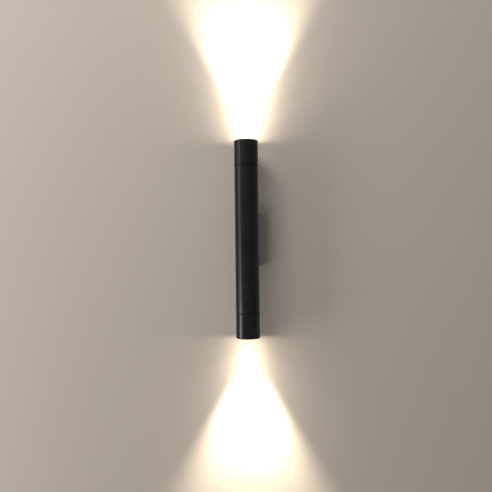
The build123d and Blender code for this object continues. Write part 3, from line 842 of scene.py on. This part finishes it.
lens = {
    "thickness": 2.5,
    "edgeRound": 0.3,
    "edgeSteps": 3,
    "flange": 2.8,  # from the edge to where the cone starts
    "coneInset": 4.2,
    "coneDepth": 6.6,
    "footRadius": 6.0,
    "cupRadius": 4.6,
    "cupTaper": 0.4,
    "cupWall": 1.6,
    "cupDepth": 2.2,
    "cell": 3.6,
    "cellRise": 0.55,
    "cellGap": 0.15,
    "cellSteps": ((0.82, 0.55), (0.5, 0.9), (0.2, 1.0)),  # width and height of each ring of a cell's dome
    "border": 1.6,  # bare rim round the cells
    "steps": 96,
    "sharpAngle": 20,
}


def addCell(shape, x, y, face, sign):
    # a hexagon that three discrete extrusions raise into a dome
    width = (lens["cell"] / 2 - lens["cellGap"]) * 2 / math.sqrt(3)
    turn = Matrix.Rotation(math.radians(30), 4, "Z")
    place = Matrix.Translation((x * mm, tubeAxisY + y * mm, sign * face * mm)) @ turn
    cell = bmesh.ops.create_circle(shape, cap_ends=True, segments=6, radius=width * mm, matrix=place)
    cap = cell["verts"][0].link_faces[0]
    for share, rise in lens["cellSteps"]:
        cap = bmesh.ops.extrude_discrete_faces(shape, faces=[cap])["faces"][0]
        middle = Vector((x * mm, tubeAxisY + y * mm, sign * (face + lens["cellRise"] * rise) * mm))
        for vert in cap.verts:
            vert.co.z = middle.z
            vert.co = middle + (vert.co - middle).normalized() * width * share * mm


def makeLampLens(end, sign):
    top, foot, edge = lensHigh.z / mm, lensLow.z / mm, lensHigh.x / mm
    face = top - lens["cellRise"]
    edgeRound = lens["edgeRound"]
    cup = lens["cupRadius"]
    outline = [(0, face), (edge - edgeRound, face)]
    outline += arc((edge - edgeRound, face - edgeRound), edgeRound, 90, 0, lens["edgeSteps"])[1:]
    outline += [(edge, top - lens["thickness"]), (edge - lens["flange"], top - lens["thickness"])]
    outline += [(edge - lens["coneInset"], top - lens["coneDepth"]), (lens["footRadius"], foot), (cup, foot)]
    outline += [(cup - lens["cupTaper"], foot + lens["cupWall"]), (0, foot + lens["cupDepth"])]
    shape = bmesh.new()
    spinOutline(shape, outline, lens["steps"], sign, closed=False)
    reach = edge - lens["border"]
    pitchX = lens["cell"]
    pitchY = pitchX * math.sqrt(3) / 2
    rows = int(reach / pitchY) + 1
    for row in range(-rows, rows + 1):
        for column in range(-rows, rows + 1):
            x = (column + 0.5 * (row % 2)) * pitchX
            y = row * pitchY
            if math.hypot(x, y) + pitchX / 2 <= reach:
                addCell(shape, x, y, face, sign)
    names = (f"{end}_faceted_lens", f"{end}_lamp", f"{end}_lamp_lens")
    finished(shape, *names, "lampLens", "lamp_lens", lens["sharpAngle"])


for end, sign in ends.items():
    makeCollar(end, sign)
    makeThreadedRing(end, sign)
    makeFrontGlass(end, sign)
    makeLampLens(end, sign)
print("end pieces made")


# stage: wall, floor, lights and camera, in metres
stage = {
    "wallColour": (0.34, 0.306, 0.272),
    "floorColour": (0.7, 0.68, 0.65),
    "shade": 0.97,  # the darkest patches
    "patch": 0.35,
    "wallGap": 0.4 * mm,
    "half": 2.6,
    "floorZ": -1.5,
    "world": 0.32,
    "worldColour": (1.0, 0.985, 0.965),
}


def paint(name, colour, seeThroughFromBehind):
    finish = Finish(name)
    tone = finish.noise(stage["patch"], 3.0)
    shade = tuple(channel * stage["shade"] for channel in colour)
    shader = finish.node("BsdfDiffuse", None, {"Color": finish.blend(tone, colour, shade)})
    if seeThroughFromBehind:  # a camera in front sees it, and all other rays pass through it
        behind = finish.node("NewGeometry", None, None, "Backfacing")
        seen = finish.node("LightPath", None, None, "Is Camera Ray")
        clear = finish.node("BsdfTransparent", None, {"Color": (1, 1, 1)})
        shader = finish.node("MixShader", None, {0: behind.most(1.0 - seen), 1: shader, 2: clear})
    finish.node("OutputMaterial", None, {0: shader})
    return finish.material


def stagePlane(name, matrix, material):
    shape = bmesh.new()
    bmesh.ops.create_grid(shape, x_segments=1, y_segments=1, size=stage["half"], matrix=matrix)
    mesh = bpy.data.meshes.new(name)
    shape.to_mesh(mesh)
    shape.free()
    plane = bpy.data.objects.new(name, mesh)
    bpy.context.scene.collection.objects.link(plane)
    plane.data.materials.append(material)


upright = Matrix.Translation((0, stage["wallGap"], 0)) @ Matrix.Rotation(math.radians(90), 4, "X")
stagePlane("backdrop", upright, paint("backdropPaint", stage["wallColour"], True))
level = Matrix.Translation((0, 0, stage["floorZ"]))
stagePlane("floor", level, paint("floorPaint", stage["floorColour"], False))

world = bpy.data.worlds.new("studio")
bpy.context.scene.world = world
world.use_nodes = True
background = world.node_tree.nodes["Background"]
background.inputs["Color"].default_value = (*stage["worldColour"], 1)
background.inputs["Strength"].default_value = stage["world"]


def hang(lamp, colour, at, towards):
    lamp.color = colour
    holder = bpy.data.objects.new(lamp.name, lamp)
    holder.location = at
    holder.rotation_euler = towards.to_track_quat("-Z", "Y").to_euler()
    holder.visible_camera = False
    bpy.context.scene.collection.objects.link(holder)
    return holder


softboxes = {
    "key": {
        "at": (-0.8, -1.2, 1.75),
        "to": (0, -0.04, 0),
        "size": (1.0, 0.8),
        "power": 52,
        "colour": (1, 0.975, 0.94),
    },
    "highStrip": {
        "at": (-1.36, -0.5, 0.42),
        "to": (0, -0.04, 0.02),
        "size": (0.34, 1.1),
        "power": 6.0,
        "colour": (1, 0.97, 0.93),
    },
    "strip": {
        "at": (-1.36, -0.5, -0.5),
        "to": (0, -0.04, -0.12),
        "size": (0.3, 0.62),
        "power": 11.5,
        "colour": (1, 0.97, 0.93),
    },
    "back": {
        "at": (-0.35, 1.1, 1.9),
        "to": (0, 0, 0),
        "size": (0.9, 0.9),
        "power": 30,
        "colour": (1, 0.98, 0.96),
    },
}
for name, light in softboxes.items():
    lamp = bpy.data.lights.new(name, "AREA")
    lamp.shape = "RECTANGLE"
    lamp.size, lamp.size_y = light["size"]
    lamp.energy = light["power"]
    hang(lamp, light["colour"], light["at"], Vector(light["to"]) - Vector(light["at"]))

# the light that leaves each end: a soft disc and cones from narrow to wide
beam = {
    "colour": (1.0, 0.9, 0.73),
    "above": 0.25 * mm,  # over the glass
    "radius": 17 * mm,
    "spread": 168,
    "power": {"upper": 0.16, "lower": 0.085},
    "coneRadius": 8 * mm,
}
cones = {
    "core": {"angle": 65, "blend": 0.85, "power": {"upper": 64.0, "lower": 62.0}},
    "middle": {"angle": 92, "blend": 1.0, "power": {"upper": 6.0, "lower": 2.2}},
    "halo": {"angle": 130, "blend": 1.0, "power": {"upper": 1.6, "lower": 1.3}},
    "spill": {"angle": 179.6, "blend": 0.0, "power": {"upper": 0.16, "lower": 0.2}},
}
for end, sign in ends.items():
    wash = bpy.data.lights.new(f"{end}_wash", "AREA")
    wash.shape = "DISK"
    wash.size = 2 * beam["radius"]
    wash.spread = math.radians(beam["spread"])
    wash.energy = beam["power"][end]
    lamps = [wash]
    for name, cone in cones.items():
        spot = bpy.data.lights.new(f"{end}_{name}", "SPOT")
        spot.spot_size = math.radians(cone["angle"])
        spot.spot_blend = cone["blend"]
        spot.shadow_soft_size = beam["coneRadius"]
        spot.energy = cone["power"][end]
        lamps.append(spot)
    at = (0, tubeAxisY, sign * (glassHigh.z + beam["above"]))
    for lamp in lamps:
        holder = hang(lamp, beam["colour"], at, Vector((0, 0, sign)))
        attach(holder, f"{end}_glass_unit")
print("stage and lights set")

view = {
    "at": (61.7, -952.6, -23.8),  # mm
    "yaw": 3.98,
    "pitch": 0.78,
    "roll": -0.68,
    "focalPixels": 547.2,
    "framePixels": 492,
    "sensor": 36,
    "nearest": 0.01,
    "farthest": 20,
}


def setCamera():
    yaw, pitch, roll = (math.radians(view[key]) for key in ("yaw", "pitch", "roll"))
    ahead = Vector((-math.sin(yaw) * math.cos(pitch), math.cos(yaw) * math.cos(pitch), math.sin(pitch)))
    level = Vector((math.cos(yaw), math.sin(yaw), 0))
    above = level.cross(ahead)
    right = level * math.cos(roll) + above * math.sin(roll)
    up = above * math.cos(roll) - level * math.sin(roll)
    data = bpy.data.cameras.new("photo view")
    data.sensor_width = view["sensor"]
    data.lens = view["focalPixels"] * view["sensor"] / view["framePixels"]
    data.clip_start = view["nearest"]
    data.clip_end = view["farthest"]
    camera = bpy.data.objects.new("photo view", data)
    turn = Matrix((right, up, -ahead)).transposed().to_4x4()
    camera.matrix_world = Matrix.Translation(Vector(view["at"]) * mm) @ turn
    bpy.context.scene.collection.objects.link(camera)
    bpy.context.scene.camera = camera


setCamera()
bpy.context.scene.view_settings.view_transform = "Standard"
print("camera set")
